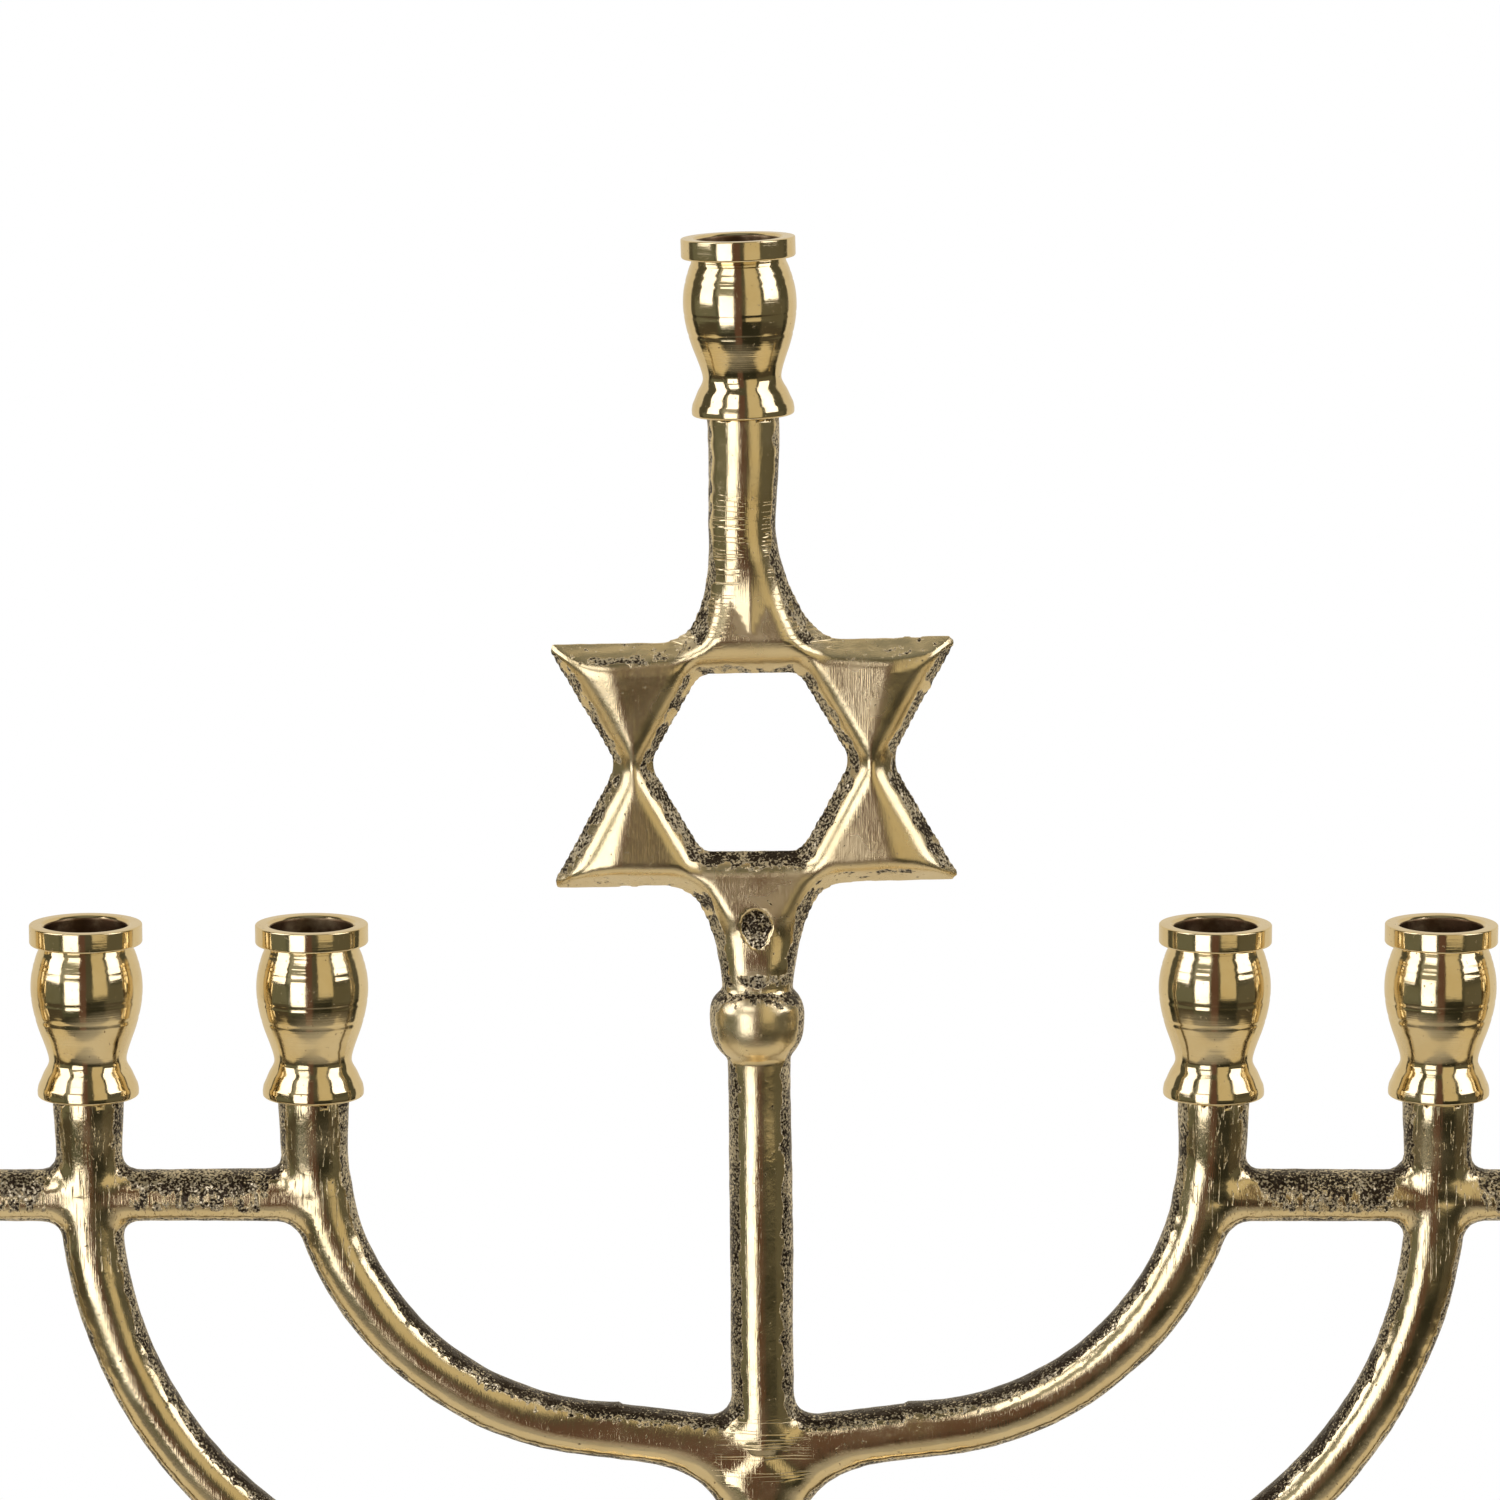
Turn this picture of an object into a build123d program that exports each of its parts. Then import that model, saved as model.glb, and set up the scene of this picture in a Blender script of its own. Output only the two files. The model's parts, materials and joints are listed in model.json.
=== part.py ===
"""A nine-light branched candlestick in brass: one flat sand casting for the arms, the star and the column,
nine turned candle cups on threaded studs, and a turned pedestal drawn together by a tie rod.

The frame is +Z up, +X along the row of lights and -Y towards the viewer. The origin is on the table, under
the column. All sizes are in millimetres.
"""

import os
from math import cos, radians, sin, sqrt, tan

from build123d import *

os.makedirs("parts", exist_ok=True)

# Driving dimensions -------------------------------------------------------------------------------------

# The row of lights.
ARMS_PER_SIDE = 4
FIRST_ARM_X = 56.8  # column to the innermost light
ARM_PITCH = 28.4  # from one light to the next
SEAT_Z = 200.0  # the flat arm ends that the side cups stand on

# The arms, seen from the front: straight down, round a bend, then a gently falling run to the column.
ARM_WIDTH = 7.1
FIRST_BEND_RADIUS = 38.5
BEND_RADIUS_STEP = 17.0
FIRST_BEND_TOP_Z = 195.0
BEND_TOP_STEP = 7.5
ARM_FALL = 7.0  # degrees below level where the arm meets the column
TIP_RADIUS = 4.5
TIP_FOOT_RADIUS = 4.1  # where the widened end meets the bar

# The crossbar that ties the arms of one side together.
BAR_WIDTH = 6.4
BAR_Z = 187.1

# The casting's section.
CAST_DEPTH = 7.0
CAST_BEVEL = 1.9

# The column and its two ball knops.
COLUMN_RADIUS = 4.0
COLUMN_WEB = 7.4  # the width of the flat web inside the round column
KNOP_RADIUS = 6.0
KNOP_Z = 210.4
NECK_RADIUS = 4.4
LOWER_KNOP_RADIUS = 6.5
LOWER_KNOP_Z = 58.0
COLUMN_FOOT_Z = 53.0  # the casting's flat lower end

# The star and the stem above it, which stand and lean a little to one side as the casting came out of the sand.
STAR_RADIUS = 29.6
STAR_HOLE_RADIUS = 12.4
STAR_STRETCH = 1.04  # the star is this much taller than a regular one
STAR_Z = 242.7
STAR_BEVEL = 1.1
STAR_HOLE_BEVEL = 1.6
STAR_PEAK = 1.3  # how far each point's pyramid stands out of the bevelled face
KNOP_SHIFT = 0.8  # of the knop, towards -X
FINIAL_SHIFT = 1.2  # of the star's centre, towards -X
FINIAL_LEAN = 1.75  # degrees, of the stem, towards -X
STAR_TURN = 1.2  # degrees, of the star in its plane, the same way
TOP_SEAT = 43.8  # star centre to the centre cup's seat, along the leaning stem
TOP_STEM_Z = 23.0  # where the round stem leaves the star's top point
TOP_STEM_RADIUS = 4.2
TOP_STEM_TIP_RADIUS = 4.6

# Rounding of the inner corners, seen from the front.
UNDER_ARM_FILLET = 10.0
OVER_ARM_FILLET = 3.5
BAR_FILLET = 1.8
STAR_NOTCH_FILLET = 1.6
STAR_STEM_FILLET = 10.0

# The candle cup, as radii and heights above its seat.
CUP_HEIGHT = 22.1
CANDLE_RADIUS = 5.2
CANDLE_DEPTH = 12.6
RIM_RADIUS = 7.1
RIM_HEIGHT = 2.3
CUP_FOOT_RADIUS = 6.35
CUP_SIDE = [(6.35, 1.0), (5.56, 3.2), (4.9, 4.45), (5.5, 6.9), (6.42, 9.5), (7.05, 13.7), (6.25, 18.1)]
CUP_NECK_RADIUS = 5.8
EDGE = 0.3  # small turned edge breaks

# Threaded studs that hold the cups.
STUD_RADIUS = 2.0
STUD_PITCH = 0.7
STUD_IN_ARM = 8.0
STUD_IN_CUP = 5.5
TAPPED_SLACK = 0.05  # stud to tapped arm, each side
CUP_SLACK = 0.1  # stud to cup, each side
CUP_TAPPING_DEPTH = 6.2

# The pedestal.
FELT_THICKNESS = 1.5
FELT_RADIUS = 54.5
FELT_HOLE_RADIUS = 48.5
FOOT_RADIUS = 56.0
FOOT_TOP_Z = 29.0
FOOT_TOP_RADIUS = 10.5
FOOT_BOSS_Z = 19.5  # underside of the boss that the washer bears on
FOOT_BOSS_RADIUS = 11.0
RIM_LAND = 8.0  # width of the flat ring under the foot's edge
FOOT_COLLAR_RADIUS = 12.5
FOOT_DOME = [(51.6, 6.2), (46.0, 10.2), (35.0, 13.4), (23.0, 17.2), (15.5, 21.6), (12.5, 24.8)]  # radius, height
FOOT_HOLLOW = [(22.0, 15.0), (33.0, 11.2), (42.0, 8.0), (46.6, 3.8)]
BALUSTER_TOP_RADIUS = 6.2
BALUSTER_SIDE = [(9.2, 2.0), (6.6, 5.6), (9.4, 10.4), (10.4, 14.0), (8.6, 18.2), (5.6, 20.9), (6.4, 22.6)]
ROD_RADIUS = 2.5
ROD_PITCH = 0.8
ROD_HOLE_RADIUS = 2.8
ROD_IN_COLUMN = 10.0
ROD_TAIL = 2.5  # rod left standing below the nut
ROD_THREAD = 14.4  # length of thread at the rod's lower end
WASHER_RADIUS = 7.5
WASHER_THICKNESS = 1.2
NUT_ACROSS_FLATS = 8.0
NUT_HEIGHT = 4.0

# Worked out from them -----------------------------------------------------------------------------------

TURN = radians(STAR_TURN)
FINIAL = Location((-FINIAL_SHIFT, 0, STAR_Z), (0, -FINIAL_LEAN, 0))
STAR_FRONT = Plane(origin=(-FINIAL_SHIFT, 0, STAR_Z), x_dir=(cos(TURN), 0, sin(TURN)), z_dir=(0, -1, 0))
ARM_XS = [FIRST_ARM_X + ARM_PITCH * number for number in range(ARMS_PER_SIDE)]
SIDE_XS = [-x for x in reversed(ARM_XS)] + ARM_XS
CUP_PLACES = {"shamash": FINIAL * Location((0, 0, TOP_SEAT))}
for number, x in enumerate(ARM_XS, start=1):
    CUP_PLACES[f"left_{number}"] = Location((-x, 0, SEAT_Z))
    CUP_PLACES[f"right_{number}"] = Location((x, 0, SEAT_Z))
STANDING = (Align.CENTER, Align.CENTER, Align.MIN)
HANGING = (Align.CENTER, Align.CENTER, Align.MAX)
NUT_TOP_Z = FOOT_BOSS_Z - WASHER_THICKNESS
ROD_FOOT_Z = NUT_TOP_Z - NUT_HEIGHT - ROD_TAIL


def arm_joint(number):
    """The height at which the centreline of an arm reaches the column's axis."""
    radius = FIRST_BEND_RADIUS + BEND_RADIUS_STEP * number
    fall = radians(ARM_FALL)
    bend_foot_x = ARM_XS[number] - radius * (1 - sin(fall))
    return FIRST_BEND_TOP_Z - BEND_TOP_STEP * number - radius * cos(fall) - bend_foot_x * tan(fall)


def star_reach(corner):
    """How far a corner of the star's plan lies from the star's centre."""
    return sqrt(corner.X**2 + (corner.Y / STAR_STRETCH) ** 2)


def save(piece, name):
    """Labels a finished piece and writes it as its own file."""
    piece.part.label = name
    export_step(piece.part, f"parts/{name}.step")


def threaded(radius, pitch, start, length):
    """The outline points of a thread drawn as rings, one groove to each pitch, going up from start."""
    root = radius - 0.6 * pitch
    points = []
    for turn in range(int(length / pitch)):
        low = start + turn * pitch
        points += [(root, low + 0.1 * pitch), (radius, low + 0.45 * pitch), (radius, low + 0.65 * pitch)]
    return points + [(root, start + int(length / pitch) * pitch)]


# The casting --------------------------------------------------------------------------------------------

with BuildPart() as branch_casting:
    with BuildSketch(Plane.XZ) as plan:
        # Arms of one side, from their ends down into the column, and the bar that ties them.
        for number, x in enumerate(ARM_XS):
            bend_top = FIRST_BEND_TOP_Z - BEND_TOP_STEP * number
            with BuildLine():
                drop = Line((x, SEAT_Z), (x, bend_top))
                bend = JernArc(drop @ 1, (0, -1), FIRST_BEND_RADIUS + BEND_RADIUS_STEP * number, ARM_FALL - 90)
                run = Line(bend @ 1, (0, arm_joint(number)))
            for stretch in (drop, bend, run):
                trace(stretch, line_width=ARM_WIDTH)
        with Locations((ARM_XS[0], BAR_Z)):
            Rectangle(ARM_XS[-1] - ARM_XS[0], BAR_WIDTH, align=(Align.MIN, Align.CENTER))
        mirror(about=Plane.YZ)
        with Locations((0, COLUMN_FOOT_Z + 4)):
            Rectangle(COLUMN_WEB, KNOP_Z - COLUMN_FOOT_Z - 4, align=(Align.CENTER, Align.MIN))
        # Rounded inner corners: wide below each arm, tight above it and beside the bar.
        for number in range(ARMS_PER_SIDE):
            joint = arm_joint(number)
            for gap_foot, gap_top, radius in (
                (joint - ARM_WIDTH, joint, UNDER_ARM_FILLET),
                (joint, joint + ARM_WIDTH, OVER_ARM_FILLET),
            ):
                web_corners = plan.vertices().filter_by(lambda corner: abs(abs(corner.X) - COLUMN_WEB / 2) < 0.01)
                chosen = web_corners.filter_by(lambda corner: gap_foot < corner.Y < gap_top)
                fillet(chosen, radius=radius)
        bar_corners = plan.vertices().filter_by(lambda corner: abs(abs(corner.Y - BAR_Z) - BAR_WIDTH / 2) < 0.01)
        fillet(bar_corners, radius=BAR_FILLET)
    extrude(amount=CAST_DEPTH / 2, both=True)
    chamfer(branch_casting.faces().filter_by(Axis.Y).edges(), length=CAST_BEVEL)

    # The star, with webs that run into the stem above and the neck below.
    with BuildSketch(STAR_FRONT) as star_plan:
        RegularPolygon(STAR_RADIUS, 3, rotation=90)
        RegularPolygon(STAR_RADIUS, 3, rotation=-90)
        RegularPolygon(STAR_HOLE_RADIUS, 6, mode=Mode.SUBTRACT)
        scale(by=(1, STAR_STRETCH, 1))
        for up, half_width in ((1, TOP_STEM_RADIUS), (-1, NECK_RADIUS)):
            with Locations((0, up * (STAR_RADIUS + 1) / 2)):
                web_align = Align.MIN if up > 0 else Align.MAX
                Rectangle(2 * half_width, (STAR_RADIUS + 1) / 2 + 2, align=(Align.CENTER, web_align))
            shoulders = star_plan.vertices().filter_by(lambda corner: abs(abs(corner.X) - half_width) < 0.01)
            fillet(shoulders.filter_by(lambda corner: 15 < up * corner.Y < 28), radius=STAR_STEM_FILLET)
        notches = star_plan.vertices().filter_by(lambda corner: 15.5 < star_reach(corner) < 18.5)
        fillet(notches, radius=STAR_NOTCH_FILLET)
    extrude(amount=CAST_DEPTH / 2, both=True)
    star_faces = branch_casting.faces().filter_by(Axis.Y).filter_by(lambda face: face.center().Z > KNOP_Z)
    for star_face in star_faces:
        chamfer(star_face.outer_wire().edges(), length=STAR_BEVEL)
        chamfer(star_face.inner_wires().edges(), length=STAR_HOLE_BEVEL)

    # A low pyramid on the front and the back of each of the star's points.
    for side in (1, -1):
        face_plane = Plane(STAR_FRONT.origin - (0, side * CAST_DEPTH / 2, 0), STAR_FRONT.x_dir, (0, -side, 0))
        with BuildSketch(face_plane):
            with PolarLocations(STAR_RADIUS * 2 / 3, 6, start_angle=30):
                RegularPolygon(STAR_RADIUS / 3 - 2 * STAR_BEVEL, 3)
        extrude(amount=STAR_PEAK, taper=60)

    # The stem above the star.
    with Locations(FINIAL * Location((0, 0, TOP_STEM_Z))):
        Cone(TOP_STEM_RADIUS, TOP_STEM_TIP_RADIUS, TOP_SEAT - TOP_STEM_Z, align=STANDING)
        Cone(1.2, TOP_STEM_RADIUS, 8, align=HANGING)

    # The round column with the bead at its foot.
    with BuildSketch(Plane.XZ):
        with BuildLine():
            bead = ThreePointArc((5.9, COLUMN_FOOT_Z), (LOWER_KNOP_RADIUS, LOWER_KNOP_Z), (5.0, LOWER_KNOP_Z + 4.4))
            Polyline(
                bead @ 1,
                (COLUMN_RADIUS, LOWER_KNOP_Z + 6.4),
                (COLUMN_RADIUS, KNOP_Z - 2),
                (0, KNOP_Z - 2),
                (0, COLUMN_FOOT_Z),
                bead @ 0,
            )
        make_face()
    revolve(axis=Axis.Z)

    # The knop under the star, with the neck above it.
    with BuildSketch(Plane(origin=(-KNOP_SHIFT, 0, KNOP_Z), z_dir=(0, -1, 0), x_dir=(1, 0, 0))):
        with BuildLine():
            knop = ThreePointArc((5.3, -3.3), (KNOP_RADIUS, 0.4), (NECK_RADIUS, 4.6))
            Polyline(knop @ 1, (NECK_RADIUS, 8), (0, 14), (0, -5), (COLUMN_RADIUS, -5), knop @ 0)
        make_face()
    revolve(axis=Axis((-KNOP_SHIFT, 0, 0), (0, 0, 1)))

    # Arm ends, widened under the cups.
    with Locations([(x, 0, SEAT_Z) for x in SIDE_XS]):
        Cone(TIP_FOOT_RADIUS, TIP_RADIUS, SEAT_Z - BAR_Z, align=HANGING)

    # Tapped holes for the studs and for the tie rod.
    with Locations(*CUP_PLACES.values()):
        Cylinder(STUD_RADIUS + TAPPED_SLACK, STUD_IN_ARM, align=HANGING, mode=Mode.SUBTRACT)
    with Locations((0, 0, COLUMN_FOOT_Z)):
        Cylinder(ROD_RADIUS + TAPPED_SLACK, ROD_IN_COLUMN, align=STANDING, mode=Mode.SUBTRACT)

save(branch_casting, "branch_casting")

# The candle cups and the studs that hold them -----------------------------------------------------------

with BuildPart() as cup:
    with BuildSketch(Plane.XZ):
        with BuildLine():
            side = Spline(*CUP_SIDE, (CUP_NECK_RADIUS, CUP_HEIGHT - RIM_HEIGHT))
            Polyline(
                side @ 1,
                (RIM_RADIUS - EDGE, CUP_HEIGHT - RIM_HEIGHT),
                (RIM_RADIUS, CUP_HEIGHT - RIM_HEIGHT + EDGE),
                (RIM_RADIUS, CUP_HEIGHT - EDGE),
                (RIM_RADIUS - EDGE, CUP_HEIGHT),
                (CANDLE_RADIUS + EDGE, CUP_HEIGHT),
                (CANDLE_RADIUS, CUP_HEIGHT - EDGE),
                (CANDLE_RADIUS, CUP_HEIGHT - CANDLE_DEPTH),
                (0, CUP_HEIGHT - CANDLE_DEPTH),
                (0, CUP_TAPPING_DEPTH),
                (STUD_RADIUS + CUP_SLACK, CUP_TAPPING_DEPTH),
                (STUD_RADIUS + CUP_SLACK, 0),
                (CUP_FOOT_RADIUS - EDGE, 0),
                (CUP_FOOT_RADIUS, EDGE),
                side @ 0,
            )
        make_face()
    revolve(axis=Axis.Z)

with BuildPart() as stud:
    with BuildSketch(Plane.XZ):
        with BuildLine():
            thread = threaded(STUD_RADIUS, STUD_PITCH, -STUD_IN_ARM, STUD_IN_ARM + STUD_IN_CUP)
            Polyline((0, -STUD_IN_ARM), *thread, (0, thread[-1][1]), close=True)
        make_face()
    revolve(axis=Axis.Z)

for light, place in CUP_PLACES.items():
    with BuildPart() as placed_cup:
        with Locations(place):
            add(cup.part)
    save(placed_cup, f"{light}_cup")
    with BuildPart() as placed_stud:
        with Locations(place):
            add(stud.part)
    save(placed_stud, f"{light}_stud")

# The pedestal -------------------------------------------------------------------------------------------

with BuildPart() as baluster:
    with BuildSketch(Plane.XZ):
        with BuildLine():
            side = Spline(*[(radius, FOOT_TOP_Z + up) for radius, up in BALUSTER_SIDE])
            Polyline(
                side @ 1,
                (BALUSTER_TOP_RADIUS, COLUMN_FOOT_Z - EDGE),
                (BALUSTER_TOP_RADIUS - EDGE, COLUMN_FOOT_Z),
                (ROD_HOLE_RADIUS, COLUMN_FOOT_Z),
                (ROD_HOLE_RADIUS, FOOT_TOP_Z),
                (FOOT_TOP_RADIUS - EDGE, FOOT_TOP_Z),
                (FOOT_TOP_RADIUS, FOOT_TOP_Z + EDGE),
                (FOOT_TOP_RADIUS, FOOT_TOP_Z + 2),
                side @ 0,
            )
        make_face()
    revolve(axis=Axis.Z)
save(baluster, "baluster")

with BuildPart() as base_foot:
    with BuildSketch(Plane.XZ):
        with BuildLine():
            dome = Spline(*[(radius, FELT_THICKNESS + up) for radius, up in FOOT_DOME])
            Polyline(
                dome @ 1,
                (FOOT_COLLAR_RADIUS, FOOT_TOP_Z - 1.2),
                (FOOT_COLLAR_RADIUS - 1.2, FOOT_TOP_Z),
                (ROD_HOLE_RADIUS, FOOT_TOP_Z),
                (ROD_HOLE_RADIUS, FOOT_BOSS_Z),
                (FOOT_BOSS_RADIUS, FOOT_BOSS_Z),
            )
            hollow = Spline(
                (FOOT_BOSS_RADIUS, FOOT_BOSS_Z),
                *[(radius, FELT_THICKNESS + up) for radius, up in FOOT_HOLLOW],
            )
            Polyline(
                hollow @ 1,
                (FOOT_RADIUS - RIM_LAND, FELT_THICKNESS),
                (FOOT_RADIUS - EDGE, FELT_THICKNESS),
                (FOOT_RADIUS, FELT_THICKNESS + EDGE),
                (FOOT_RADIUS, FELT_THICKNESS + 3.2),
                (FOOT_RADIUS - 0.9, FELT_THICKNESS + 4.2),
                (FOOT_RADIUS - 3.6, FELT_THICKNESS + 4.5),
                dome @ 0,
            )
        make_face()
    revolve(axis=Axis.Z)
save(base_foot, "base_foot")

with BuildPart() as felt_ring:
    Cylinder(FELT_RADIUS, FELT_THICKNESS, align=STANDING)
    Cylinder(FELT_HOLE_RADIUS, FELT_THICKNESS, align=STANDING, mode=Mode.SUBTRACT)
save(felt_ring, "felt_ring")

with BuildPart() as tie_rod:
    with BuildSketch(Plane.XZ):
        with BuildLine():
            lower = threaded(ROD_RADIUS, ROD_PITCH, ROD_FOOT_Z, ROD_THREAD)
            upper = threaded(ROD_RADIUS, ROD_PITCH, COLUMN_FOOT_Z - 2, ROD_IN_COLUMN + 2)
            Polyline((0, ROD_FOOT_Z), *lower, *upper, (0, upper[-1][1]), close=True)
        make_face()
    revolve(axis=Axis.Z)
save(tie_rod, "tie_rod")

with BuildPart() as washer:
    with BuildSketch(Plane.XY.offset(NUT_TOP_Z)):
        Circle(WASHER_RADIUS)
        Circle(ROD_HOLE_RADIUS, mode=Mode.SUBTRACT)
    extrude(amount=WASHER_THICKNESS)
    chamfer(washer.edges().filter_by(GeomType.CIRCLE).sort_by(SortBy.RADIUS)[-2:], length=0.2)
save(washer, "washer")

with BuildPart() as nut:
    with Locations((0, 0, NUT_TOP_Z)):
        Cylinder(NUT_ACROSS_FLATS / sqrt(3), NUT_HEIGHT, align=HANGING)
    chamfer(nut.edges().filter_by(GeomType.CIRCLE), length=0.45)
    with BuildSketch(Plane.XY.offset(NUT_TOP_Z - NUT_HEIGHT)):
        RegularPolygon(NUT_ACROSS_FLATS / 2, 6, major_radius=False)
        Circle(ROD_RADIUS + TAPPED_SLACK, mode=Mode.SUBTRACT)
    extrude(amount=NUT_HEIGHT, mode=Mode.INTERSECT)
save(nut, "nut")
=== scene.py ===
"""The looks of a nine-light brass candlestick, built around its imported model.

Everything is in metres in the model's own frame: +Z up, +X along the row of lights, -Y towards the viewer.
Shapes are worked out in millimetres and turned into metres when a mesh is made.
"""

import json
from itertools import product
from math import cos, hypot, pi, radians, sin, tan

import bpy
import numpy as np
from mathutils import Matrix, Vector

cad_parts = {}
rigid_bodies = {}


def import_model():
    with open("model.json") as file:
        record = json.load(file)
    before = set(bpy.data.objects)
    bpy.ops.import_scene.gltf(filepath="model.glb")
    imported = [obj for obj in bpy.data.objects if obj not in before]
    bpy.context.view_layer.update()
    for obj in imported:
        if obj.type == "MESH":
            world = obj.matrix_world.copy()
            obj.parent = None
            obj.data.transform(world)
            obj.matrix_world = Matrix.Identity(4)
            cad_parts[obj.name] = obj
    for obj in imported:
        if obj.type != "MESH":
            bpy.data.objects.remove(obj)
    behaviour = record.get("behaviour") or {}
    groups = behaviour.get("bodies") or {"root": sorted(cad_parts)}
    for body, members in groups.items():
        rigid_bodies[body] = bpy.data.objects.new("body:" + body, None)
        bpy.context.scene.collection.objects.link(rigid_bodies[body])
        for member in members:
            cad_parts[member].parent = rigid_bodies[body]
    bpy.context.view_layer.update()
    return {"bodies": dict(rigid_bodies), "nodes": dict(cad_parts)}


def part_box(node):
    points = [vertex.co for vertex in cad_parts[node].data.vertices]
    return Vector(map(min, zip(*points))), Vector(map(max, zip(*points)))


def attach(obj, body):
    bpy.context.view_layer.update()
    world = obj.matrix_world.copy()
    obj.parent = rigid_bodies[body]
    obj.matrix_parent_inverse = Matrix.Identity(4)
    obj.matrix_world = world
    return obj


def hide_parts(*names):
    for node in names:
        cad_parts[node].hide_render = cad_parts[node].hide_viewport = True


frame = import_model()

MM = 0.001
RANDOM = np.random.default_rng(7)

# Places taken from the frame ----------------------------------------------------------------------------


def box_mm(node):
    """A node's lowest and highest corners, in millimetres."""
    low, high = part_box(node)
    return np.array(low) / MM, np.array(high) / MM


LIGHTS = [name for name in frame["bodies"] if name.startswith(("shamash", "left_", "right_"))]
SEAT_Z = box_mm("left_1_cup")[0][2]
ARM_XS = [sum(box[0] for box in box_mm(f"right_{number}_cup")) / 2 for number in (1, 2, 3, 4)]
COLUMN_FOOT_Z = box_mm("branch_casting")[0][2]

# The casting's driving sizes. Heights are taken from the side cups' seats or from the column's foot --------

ARM_HALF_WIDTH = 3.5
BEND_RADII = [38.5 + 17.0 * number for number in range(4)]
BEND_TOPS = [SEAT_Z - 5.0 - 7.5 * number for number in range(4)]
FALL = radians(7.0)
TIP_RADIUS = 4.5
BAR_Z = SEAT_Z - 12.9
BAR_HALF_WIDTH = 3.2
COLUMN_RADIUS = 4.0
KNOP_Z = SEAT_Z + 10.4
KNOP_X = -0.8
BEAD_Z = COLUMN_FOOT_Z + 5.0
JUNCTION_Z = SEAT_Z - 46.5  # where the first arms leave the column
STAR_X, STAR_Z = -1.2, SEAT_Z + 42.7
STAR_RADIUS = 29.9
STAR_HOLE_RADIUS = 12.4
STAR_STRETCH = 1.04
STAR_TURN = radians(1.2)
LEAN = radians(1.75)
TIP_CUT = 0.7  # how much is worn off the star's tips
TOP_SEAT = 43.8
STEM_HEIGHTS, STEM_RADII = [20, 30, TOP_SEAT], [3.75, 4.2, 4.55]  # heights from the star's centre
STEM_SHIFT = -0.75  # of the stem's thin lower end
NECK_RADIUS = 4.4
ROUNDNESS = 2.25  # the exponent of the section's outline: 2 is an ellipse, more is squarer
ARM_HALF_DEPTH, BAR_HALF_DEPTH = 3.5, 3.2
WALL_SLOPE = 1.5  # of the star's flanks
PIT_X, PIT_Z = KNOP_X - 0.1, STAR_Z - 20.6
PIT_DEPTH = 0.75
HOLE_SHIFT = -0.45  # of the star's hole from the star's centre
SIDE_SLOPE, HOLE_SLOPE = 0.21, 0.085  # of the star's faces that fall to its slanting edges and to its hole
SIDE_HALF_DEPTH, HOLE_HALF_DEPTH = 2.68, 3.0  # where those faces start, from the star's middle plane
KNOP_RADIUS, KNOP_ABOVE, KNOP_BELOW = 5.95, 4.1, 6.2
KNOP_ROUNDNESS = 2.6
BEAD_RADIUS, BEAD_HALF_HEIGHT = 6.4, 7.6
SKIN_DEPTH = 0.035

CUP_HEIGHT, RIM_HEIGHT = 22.1, 2.5
CANDLE_RADIUS, CANDLE_DEPTH = 5.2, 12.6

# Helpers for shapes -------------------------------------------------------------------------------------


def smooth_max(a, b, reach):
    """The larger of two fields, with the corner between them filled over the given reach."""
    overlap = np.clip(reach - np.abs(a - b), 0, None) / reach
    return np.maximum(a, b) + overlap**2 * reach / 4


def smooth_min(a, b, reach):
    """The smaller of two fields, with the corner between them rounded over the given reach."""
    return -smooth_max(-a, -b, reach)


def ramp(value, low, high):
    """A smooth step from 0 at low to 1 at high."""
    t = np.clip((value - low) / (high - low), 0, 1)
    return t * t * (3 - 2 * t)


def make_waves(count, shortest, longest):
    """Random sine waves in space: wave vectors and phases."""
    directions = RANDOM.normal(size=(count, 3))
    directions /= np.linalg.norm(directions, axis=1)[:, None]
    lengths = RANDOM.uniform(shortest, longest, count)
    return directions * (2 * pi / lengths)[:, None], RANDOM.uniform(0, 2 * pi, count)


def ripple(waves, x, y, z):
    """The waves' sum at a place, about -1 to 1."""
    total = 0
    for (kx, ky, kz), phase in zip(*waves):
        total = total + np.sin(kx * x + ky * y + kz * z + phase)
    return total / np.sqrt(2 * len(waves[1]))


HAND_WAVES = make_waves(9, 9, 26)  # the unevenness of hand finishing
SKIN_WAVES = make_waves(16, 1.6, 4.0)  # the uneven skin from the sand
PIT_WAVES = make_waves(10, 0.9, 1.8)


# The casting as a field: positive inside the metal, in millimetres near its surface -----------------------


def arm_plan(x, z, number):
    """Distance inside an arm's outline, and the height of its centreline under or over a place."""
    arm_x, radius, bend_top = ARM_XS[number], BEND_RADII[number], BEND_TOPS[number]
    centre_x = arm_x - radius
    foot_x = centre_x + radius * sin(FALL)
    foot_z = bend_top - radius * cos(FALL)
    upright = np.abs(x - arm_x) + np.clip(bend_top - z, 0, None)
    bend = np.abs(np.hypot(x - centre_x, z - bend_top) - radius)
    bend = np.where((z > bend_top) | (x < centre_x), 1e3, bend)
    level_z = foot_z + (x - foot_x) * tan(FALL)
    run = np.abs(z - level_z) * cos(FALL) + np.clip(x - foot_x, 0, None)
    distance = np.minimum(np.minimum(upright, bend), run)
    heights = [BAR_Z - 25, BAR_Z - 4, BAR_Z + 3, SEAT_Z]
    half_width = np.interp(z, heights, [ARM_HALF_WIDTH, 3.8, 4.05, TIP_RADIUS])
    return half_width - distance, level_z, half_width


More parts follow.
